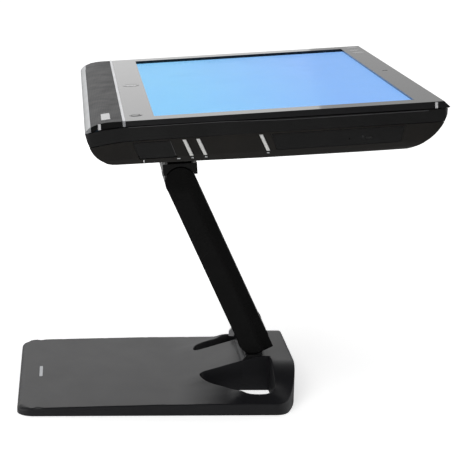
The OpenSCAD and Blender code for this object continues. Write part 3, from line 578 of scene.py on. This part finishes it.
def ramp_height(y):
    """The ramp's climb along the middle, with a soft bend at its foot and at its head."""
    if y < RAMP_FOOT + RAMP_SOFT:
        return RAMP_SLOPE * max(0.0, y - RAMP_FOOT + RAMP_SOFT) ** 2 / (4 * RAMP_SOFT)
    if y > RAMP_HEAD - RAMP_SOFT:
        return RAMP_RISE - RAMP_SLOPE * max(0.0, RAMP_HEAD + RAMP_SOFT - y) ** 2 / (4 * RAMP_SOFT)
    return RAMP_SLOPE * (y - RAMP_FOOT)


def base_height(x, y, edge=EDGE_ROUND):
    """The height of the base's top, which rounds over towards an edge."""
    side = abs(x)
    share = table(RAIL, side)
    if y > 100:
        share += (table(FLANK, side) - share) * smooth(y, 100, 146)
    z = deck_height(y) + ramp_height(y) * min(1.0, share)
    along = smooth(y, 82, 104) * (1 - smooth(y, 138, 160))
    z += RAIL_SWELL * along * smooth(side, 104, 126) * (1 - smooth(side, 135, BASE_X))
    if edge < EDGE_ROUND:
        z -= EDGE_ROUND - math.sqrt(max(0.0, EDGE_ROUND**2 - (EDGE_ROUND - edge) ** 2))
    return z


def base_outline():
    half = [
        (BASE_X - BASE_CORNER + BASE_CORNER * math.cos(math.radians(a)),
         -BASE_Y + BASE_CORNER + BASE_CORNER * math.sin(math.radians(a)))
        for a in range(-90, 1, 6)
    ]
    half += [(BASE_X, y) for y in range(-140, 138, 7)]
    half += cubic((BASE_X, 140), (BASE_X, 150.5), (143.5, 155.3), (134, 159), 14)
    half += cubic((134, 159), (117, 165.5), (95, BASE_Y), (60, BASE_Y), 16)[1:]
    half += [(x, BASE_Y) for x in range(53, 6, -7)]
    front = [(x, -BASE_Y) for x in range(7, 128, 7)]
    full = [(0, -BASE_Y)] + front + half + [(0, BASE_Y)]
    return full + [(-x, y) for x, y in reversed(full[1:-1])]


def cutout_outline():
    """The right-hand cut-out: straight along the hinge, then round the tip and the rear."""
    points = [(49, y) for y in range(143, 105, -5)]
    points += [(49 - 0.7 * (106 - y) / 42, y) for y in range(103, 66, -4)]
    points += cubic((48.3, 64), (48.4, 56), (53, 53.4), (62, 55.2), 10)
    points += cubic((63, 55.4), (84, 59), (92, 69), (104, 82), 16)
    points += cubic((105, 83), (112, 90.5), (122, 98), (128.5, 104.5), 9)
    points += cubic((129, 105), (133, 109), (134, 117), (133.8, 124), 8)
    points += cubic((133.6, 126), (133, 136), (126, 142.4), (112, 143), 10)
    return points + [(x, 143) for x in range(106, 50, -6)]


def window_outline():
    half, front, rear = WINDOW
    corners = [(half, front), (half, rear), (-half, rear), (-half, front)]
    points = []
    for (ax, ay), (bx, by) in zip(corners, corners[1:] + corners[:1]):
        points += [(ax + (bx - ax) * i / 12, ay + (by - ay) * i / 12) for i in range(12)]
    return points


def shrink(loop, distance):
    """The loop moved sideways by a distance: inwards on an anticlockwise loop if positive."""
    out = []
    count = len(loop)
    for i in range(count):
        a, b, c = Vector(loop[i - 1]), Vector(loop[i]), Vector(loop[(i + 1) % count])
        n1 = Vector((-(b - a).y, (b - a).x)).normalized()
        n2 = Vector((-(c - b).y, (c - b).x)).normalized()
        n = (n1 + n2).normalized()
        out.append(tuple(b + n * distance / max(0.5, n.dot(n1))))
    return out


def area_of(loop):
    return sum(a[0] * b[1] - b[0] * a[1] for a, b in zip(loop, loop[1:] + loop[:1])) / 2


def turned(loop, sign):
    """The loop, run the other way round if its area has the other sign."""
    return loop if area_of(loop) * sign > 0 else loop[::-1]


def distance_to(loop, x, y):
    """The shortest distance from a place to a loop."""
    best = 1e9
    for (ax, ay), (bx, by) in zip(loop, loop[1:] + loop[:1]):
        dx, dy = bx - ax, by - ay
        t = max(0, min(1, ((x - ax) * dx + (y - ay) * dy) / (dx * dx + dy * dy)))
        best = min(best, math.hypot(x - ax - t * dx, y - ay - t * dy))
    return best


def inside(loop, x, y):
    hit = False
    for (ax, ay), (bx, by) in zip(loop, loop[1:] + loop[:1]):
        if (ay > y) != (by > y) and x < (bx - ax) * (y - ay) / (by - ay) + ax:
            hit = not hit
    return hit


# distances from the rims at which the mesh gets rings of points
OUTER_RINGS = (0.0, 0.12, 0.35, 0.75, 1.2, 2.2)
CUTOUT_RINGS = (0.0, 0.2, 0.6, 1.2, 2.4)
WINDOW_RINGS = (0.0, 0.4)
# the grid between the rings: its step, its shift along Y and its distance from the rims
GRID, GRID_SHIFT = 4.0, 0.3
OUTER_GAP, HOLE_GAP = 3.4, 3.2


def base_points(outer, holes):
    """Rings of points along the rims, the edges of the rims, and an even grid between them."""
    points, edges = [], []
    for loop, steps in zip((outer, *holes), (OUTER_RINGS, CUTOUT_RINGS, CUTOUT_RINGS, WINDOW_RINGS)):
        start, count = len(points), len(loop)
        edges += [(start + i, start + (i + 1) % count) for i in range(count)]
        for step in steps:
            points += shrink(loop, step) if step else loop
    for j in range(int(2 * BASE_Y / GRID) + 1):
        y = -BASE_Y + j * GRID + GRID_SHIFT
        for i in range(int(2 * BASE_X / GRID) + 1):
            x = -BASE_X + (i + (j % 2) / 2) * GRID
            if not inside(outer, x, y) or distance_to(outer, x, y) < OUTER_GAP:
                continue
            if any(inside(h, x, y) or distance_to(h, x, y) < HOLE_GAP for h in holes):
                continue
            points.append((x, y))
    return points, edges


def base_place(x, y, outer, cutouts):
    edge = distance_to(outer, x, y)
    rim = min(distance_to(h, x, y) for h in cutouts)
    z = base_height(x, y, min(edge, rim))
    # flat bevel along the front edge, which fades out round the corners
    if y < -BASE_Y + 24:
        z -= max(0.0, FRONT_BEVEL - edge - max(0.0, y + BASE_Y - 8) * 0.35)
    return x * MM, y * MM, z * MM


def wall_foot(x, y):
    """How far down the wall of a rim goes at a place."""
    half, front, rear = WINDOW
    in_window = abs(x) < half + 0.4 and front - 0.4 < y < rear + 0.4
    return WINDOW_FLOOR_Z if in_window else UNDERSIDE_Z


def make_base():
    outer = turned(base_outline(), 1)
    right = turned(cutout_outline(), -1)
    left = [(-x, y) for x, y in right][::-1]
    holes = [right, left, turned(window_outline(), -1)]
    points, edges = base_points(outer, holes)
    coords, _, tris, _, _, _ = delaunay_2d_cdt([Vector(p) for p in points], edges, [], 0, 1e-4)
    bm = bmesh.new()
    made = [bm.verts.new(base_place(x, y, outer, holes[:2])) for x, y in coords]
    # sorted, because the triangles come in another order each time
    for tri in sorted(tris):
        x = sum(coords[i][0] for i in tri) / 3
        y = sum(coords[i][1] for i in tri) / 3
        if inside(outer, x, y) and not any(inside(h, x, y) for h in holes):
            bm.faces.new([made[i] for i in tri])
    bmesh.ops.recalc_face_normals(bm, faces=bm.faces)
    if sum(f.normal.z for f in bm.faces) < 0:
        bmesh.ops.reverse_faces(bm, faces=bm.faces)
    # walls from the rims down to the underside
    rims = [e for e in bm.edges if len(e.link_faces) == 1]
    grown = bmesh.ops.extrude_edge_only(bm, edges=rims)
    for vert in (g for g in grown["geom"] if isinstance(g, bmesh.types.BMVert)):
        vert.co.z = wall_foot(vert.co.x / MM, vert.co.y / MM) * MM
    mesh = bpy.data.meshes.new("base_shell")
    bm.to_mesh(mesh)
    bm.free()
    obj = add_mesh("base_shell", mesh, base_paint)
    dress(obj, 38)
    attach(obj, "base")
    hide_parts("base_cover")


make_base()

# ---------------------------------------------------------------- softened copies of CAD nodes


def planes(across, up_slope):
    """Cutting planes through the holes of a piece, at places along the screen."""
    return [(row(x, 0, 0), ACROSS) for x in across] + [(row(0, l, 0), UP_SLOPE) for l in up_slope]


CUTS = {
    "front_bezel": planes((-8, 242), (-18, 130)),
    "rear_housing": planes((-255, -178, 0, 255), (10, 110, 249)),
    "arm_back_cover": planes((-20, 20), ()),
}
forms = {}
for name, body, look, width in (
    ("front_bezel", "display", piano, 0.4),
    ("speaker_bar", "display", speaker, 0.9),
    ("front_trim", "display", trim, 0.4),
    ("mid_housing", "display", case_gloss, 0.6),
    ("rear_housing", "display", case_brown, 1.2),
    ("drive_bezel", "tray", case_gloss, 0.35),
    ("port_door", "door", case_gloss, 0.3),
    ("volume_key", "volume", key_trim, 0.4),
    ("brightness_key", "brightness", key_trim, 0.4),
    ("eject_key", "eject", key_trim, 0.4),
    ("power_button", "power", piano, 0.5),
    ("arm_cover", "arm", arm_black, 2.4),
    ("arm_back_cover", "arm", arm_black, 1.2),
    ("head_bracket", "display", head_black, 1.6),
    ("hinge_bracket", "base", iron, 1.0),
    ("hinge_cover", "base", cover_painted_top_light, 0.5),
    ("base_plate", "base", steel, 0.5),
    ("cable_clip", "arm", clip_grey, 0.5),
):
    forms[name] = bevelled(name, look, body, width, CUTS.get(name, ()))


# how far the case floor's outer rim hangs down: at its ends, and what is added between them
RIM_DROP, RIM_SAG = 0.8, 1.1


def lower_rim(obj):
    """Let the case floor hang a little lower along its sides, as the moulding does."""
    origin = row(0, 0, 0)
    for vert in obj.data.vertices:
        x = abs(vert.co.x) / MM
        l = (vert.co - origin).dot(UP_SLOPE) / MM
        n = (vert.co - origin).dot(OFF_FACE) / MM
        drop = RIM_DROP + RIM_SAG * smooth(l, 0, 60) - RIM_SAG * smooth(l, 272, 290)
        drop *= smooth(x, 195, 235) * smooth(-n, 43.4, 44.6)
        vert.co -= OFF_FACE * drop * MM


lower_rim(forms["rear_housing"])

# ---------------------------------------------------------------- printed marks and small parts

# a mark's half thickness unless given, and how high marks lie on the chin and on its button
MARK_THICK = 0.06
CHIN_LIFT = 0.2
BUTTON_LIFT = 0.34
# directions for marks on the near side
SIDE_RIGHT = Vector((0, 1, 0))
SIDE_UP = Vector((0, 0, 1))


def side_hit(name, l, n):
    """The place on a form's near side that is l up the screen and n off its face."""
    return forms[name].ray_cast(row(420, l, n), -ACROSS)[1]


def plate(name, look, body, pieces, right, up, thick=MARK_THICK):
    """Flat pieces on one face, each given as (centre, half width, half height, lean)."""
    verts, faces = [], []
    out = right.cross(up)
    for centre, half_w, half_h, lean in pieces:
        first = len(verts)
        for level in (-thick, thick):
            for a, b in ((-1, -1), (1, -1), (1, 1), (-1, 1)):
                offset = right * (a * half_w + b * lean) + up * b * half_h + out * level
                verts.append(centre + offset * MM)
        for face in ((3, 2, 1, 0), (4, 5, 6, 7), (0, 1, 5, 4), (1, 2, 6, 5), (2, 3, 7, 6), (3, 0, 4, 7)):
            faces.append([first + i for i in face])
    return new_piece(name, verts, faces, look, body)


def section(centre, way, out, near, far, thick):
    """Four corners: from near to far along one direction, and thick to both sides of it."""
    corners = ((near, -thick), (far, -thick), (far, thick), (near, thick))
    return [centre + (way * a + out * level) * MM for a, level in corners]


def bar(name, look, body, sections):
    """A thin bar through four-cornered sections, closed at both ends."""
    verts = [corner for four in sections for corner in four]
    last = len(verts) - 4
    faces = []
    for a in range(0, last, 4):
        faces += [[a + k, a + (k + 1) % 4, a + 4 + (k + 1) % 4, a + 4 + k] for k in range(4)]
    faces += [[3, 2, 1, 0], [last + k for k in range(4)]]
    return new_piece(name, verts, faces, look, body)


def arc(name, look, body, centre, radius, width, start, end):
    """An arc on the screen's face, between two angles in degrees."""
    sections = []
    for i in range(21):
        a = math.radians(start + (end - start) * i / 20)
        ray = ACROSS * math.cos(a) + UP_SLOPE * math.sin(a)
        half = width / 2
        sections.append(section(centre, ray, OFF_FACE, radius - half, radius + half, MARK_THICK))
    return bar(name, look, body, sections)


def ribbon(name, look, body, path, across, half):
    """A thin raised line on the near side through a list of places."""
    sections = [section(centre, across, ACROSS, -half, half, 0.1) for centre in path]
    return bar(name, look, body, sections)


def side_marks():
    # small light symbols under the side controls
    pieces = []
    for l, half_w, half_h in ((23, 1.6, 0.55), (38, 1.3, 0.6), (53, 1.3, 0.6), (121, 1.3, 0.6)):
        pieces.append((side_hit("rear_housing", l, -44.4), half_w, half_h, 0))
    plate("side_symbols", mark_white, "display", pieces, SIDE_RIGHT, SIDE_UP, 0.25)
    place = side_hit("rear_housing", -15, -45)
    plate("low_tick", mark_tick, "display", [(place, 0.4, 1.5, -0.1)], SIDE_RIGHT, SIDE_UP, 0.8)
    # painted highlight: a thin grey line under the bezel where the housing's edge catches light, which
    # sinks behind the flap
    heights = [-30 + 11 * i for i in range(31)]
    path = [row(CASE_X, l, -7 - 2.2 * smooth(l, 59, 157)) for l in heights]
    ribbon("side_highlight_line", painted_edge_highlight, "display", path, OFF_FACE, 0.4)
    # painted highlight: a thin grey line along the flap's rear edge
    path = [row(CASE_X, 14.8 + 5.3 * t, -24.8 - 16 * t) for t in (0, 0.5, 1)]
    ribbon("door_edge_highlight", painted_edge_highlight, "door", path, UP_SLOPE, 0.35)


def chin_marks():
    # power symbol
    ring = row(242, -19.4, BUTTON_LIFT)
    arc("power_ring", mark_dark, "power", ring, 5.4, 0.7, 125, 415)
    stroke = [(row(242, -15.2, BUTTON_LIFT), 0.4, 1.8, 0)]
    plate("power_bar", mark_dark, "power", stroke, ACROSS, UP_SLOPE)
    # round mark, with a painted highlight as a light arc on its near side and a painted shade as a dark arc
    # on its far side
    centre = row(-8, -15.5, CHIN_LIFT)
    arc("round_mark_shade_arc", mark_dark, "display", centre, 9.2, 0.7, 130, 230)
    arc("round_mark_highlight_arc", mark_bright, "display", centre, 7.8, 1.6, 318, 402)


def corner_marks():
    """Printed lines at the far rear corner, three in each of three groups."""
    lines = []
    for x, l, half in ((-262, 305, 8), (-230, 303, 7), (-203, 305, 8)):
        for i in (-1, 0, 1):
            lines.append((row(x + 3.6 * i, l, 0.04), 1.0, half - 2 * abs(i), 0))
    plate("corner_lines", mark_bright, "display", lines, ACROSS, UP_SLOPE, 0.03)


def drive_mark():
    """The small light on the drive's front."""
    place = side_hit("drive_bezel", 226, -33)
    plate("drive_light", mark_dark, "tray", [(place, 0.9, 0.9, 0)], SIDE_RIGHT, SIDE_UP, 0.05)


def cover_seam():
    """The seam along the hinge cover's front edge."""
    seam = []
    for i in range(24):
        x, y = -44.85 + 3.9 * i, 106.6
        seam.append((Vector((x, y, base_height(x, y) + 0.02)) * MM, 1.98, 0.45, 0))
    plate("tongue_seam", mark_dark, "base", seam, ACROSS, SIDE_RIGHT, 0.05)


side_marks()
chin_marks()
corner_marks()
drive_mark()
cover_seam()

# ---------------------------------------------------------------- stage and light

# the floor's glow under the object, lowered there as a painted shade, and the share of it that lights the
# object
FLOOR_SHADED_GLOW, FLOOR_BOUNCE = 0.66, 0.04
# the sky's light behind the object and elsewhere, and how bright it is to the camera
SKY_BRIGHT, SKY_DIM, SKY_SEEN = 0.62, 0.125, 1.05


def make_stage():
    """A white floor with a painted shade: it glows a little less under the object."""
    size = 12.0
    mesh = bpy.data.meshes.new("floor")
    mesh.from_pydata(
        [(-size, -size, 0), (size, -size, 0), (size, size, 0), (-size, size, 0)], [], [(0, 1, 2, 3)]
    )
    floor = bpy.data.objects.new("floor", mesh)
    bpy.context.scene.collection.objects.link(floor)
    m = Nodes("floor")
    tone = m.spread(m.noise(2, 3), 0, 1)
    m.link(m.mix(tone, (0.80, 0.80, 0.80, 1), (0.82, 0.82, 0.82, 1)), "Base Color")
    m.link(m.spread(m.noise(6, 3), 0.62, 0.70), "Roughness")
    m.shader.inputs["Specular IOR Level"].default_value = 0.1
    m.shader.inputs["Emission Color"].default_value = (1, 1, 1, 1)
    seen = m.tree.nodes.new("ShaderNodeLightPath").outputs["Is Camera Ray"]
    reach = m.tree.nodes.new("ShaderNodeVectorMath")
    reach.operation = "LENGTH"
    m.tree.links.new(m.place, reach.inputs[0])
    # painted shade: the glow climbs from its low value near the object to 0.95 further out
    glow = m.spread(reach.outputs["Value"], FLOOR_SHADED_GLOW, 0.95, 0.18, 0.60)
    shown = m.spread(seen, FLOOR_BOUNCE, 1.0, 0.0, 1.0)
    m.link(m.math("MULTIPLY", shown, glow), "Emission Strength")
    mesh.materials.append(m.material)
    floor.location.z = -0.0002


def area(name, place, target, width, height, radiance):
    """A rectangular light that faces a target and can't be seen itself."""
    light = bpy.data.lights.new(name, "AREA")
    light.shape = "RECTANGLE"
    light.size, light.size_y = width, height
    light.energy = radiance * math.pi * width * height
    lamp = bpy.data.objects.new(name, light)
    bpy.context.scene.collection.objects.link(lamp)
    lamp.location = place
    lamp.rotation_euler = (Vector(target) - Vector(place)).to_track_quat("-Z", "Y").to_euler()
    lamp.visible_camera = False
    return lamp


def make_world():
    """White to look at; as a light it is bright low down behind the object and dim elsewhere."""
    world = bpy.data.worlds.new("studio")
    world.use_nodes = True
    tree = world.node_tree
    tree.nodes.clear()
    way = tree.nodes.new("ShaderNodeTexCoord").outputs["Generated"]
    facing = tree.nodes.new("ShaderNodeVectorMath")
    facing.operation = "DOT_PRODUCT"
    tree.links.new(way, facing.inputs[0])
    facing.inputs[1].default_value = Vector((-1.0, -0.10, 0.16)).normalized()
    ramp = tree.nodes.new("ShaderNodeMapRange")
    split = tree.nodes.new("ShaderNodeSeparateXYZ")
    tree.links.new(way, split.inputs[0])
    high = tree.nodes.new("ShaderNodeMapRange")
    total = tree.nodes.new("ShaderNodeMath")
    total.operation = "ADD"
    for node, source, numbers in (
        (ramp, facing.outputs["Value"], (0.2, 0.97, 0.0, SKY_BRIGHT - SKY_DIM)),
        (high, split.outputs["Z"], (0.08, 0.55, SKY_DIM, 0.4 * SKY_DIM)),
    ):
        node.interpolation_type = "SMOOTHSTEP"
        tree.links.new(source, node.inputs["Value"])
        for key, number in zip(("From Min", "From Max", "To Min", "To Max"), numbers):
            node.inputs[key].default_value = number
        tree.links.new(node.outputs[0], total.inputs[0 if node == ramp else 1])
    glow = tree.nodes.new("ShaderNodeBackground")
    tree.links.new(total.outputs[0], glow.inputs["Strength"])
    white = tree.nodes.new("ShaderNodeBackground")
    white.inputs["Strength"].default_value = SKY_SEEN
    for node in (glow, white):
        node.inputs["Color"].default_value = (1, 1, 1, 1)
    seen = tree.nodes.new("ShaderNodeLightPath").outputs["Is Camera Ray"]
    choose = tree.nodes.new("ShaderNodeMixShader")
    tree.links.new(seen, choose.inputs[0])
    tree.links.new(glow.outputs[0], choose.inputs[1])
    tree.links.new(white.outputs[0], choose.inputs[2])
    out = tree.nodes.new("ShaderNodeOutputWorld")
    tree.links.new(choose.outputs[0], out.inputs["Surface"])
    bpy.context.scene.world = world


make_stage()
make_world()
area("bright_card", (-2.0, -0.555, 1.10), (0, -0.405, 0.45), 2.09, 1.3, 0.50)
for side in (-1, 1):
    area("side_card", (0.5, side * 2.4, 0.40), (0.3, 0, 0.30), 3.2, 1.2, 1.2)
area("key_light", (2.4, -1.3, 2.5), (0, 0, 0.3), 1.6, 1.6, 7.0).visible_glossy = False

# ---------------------------------------------------------------- finish

bpy.context.scene.view_settings.view_transform = "Standard"
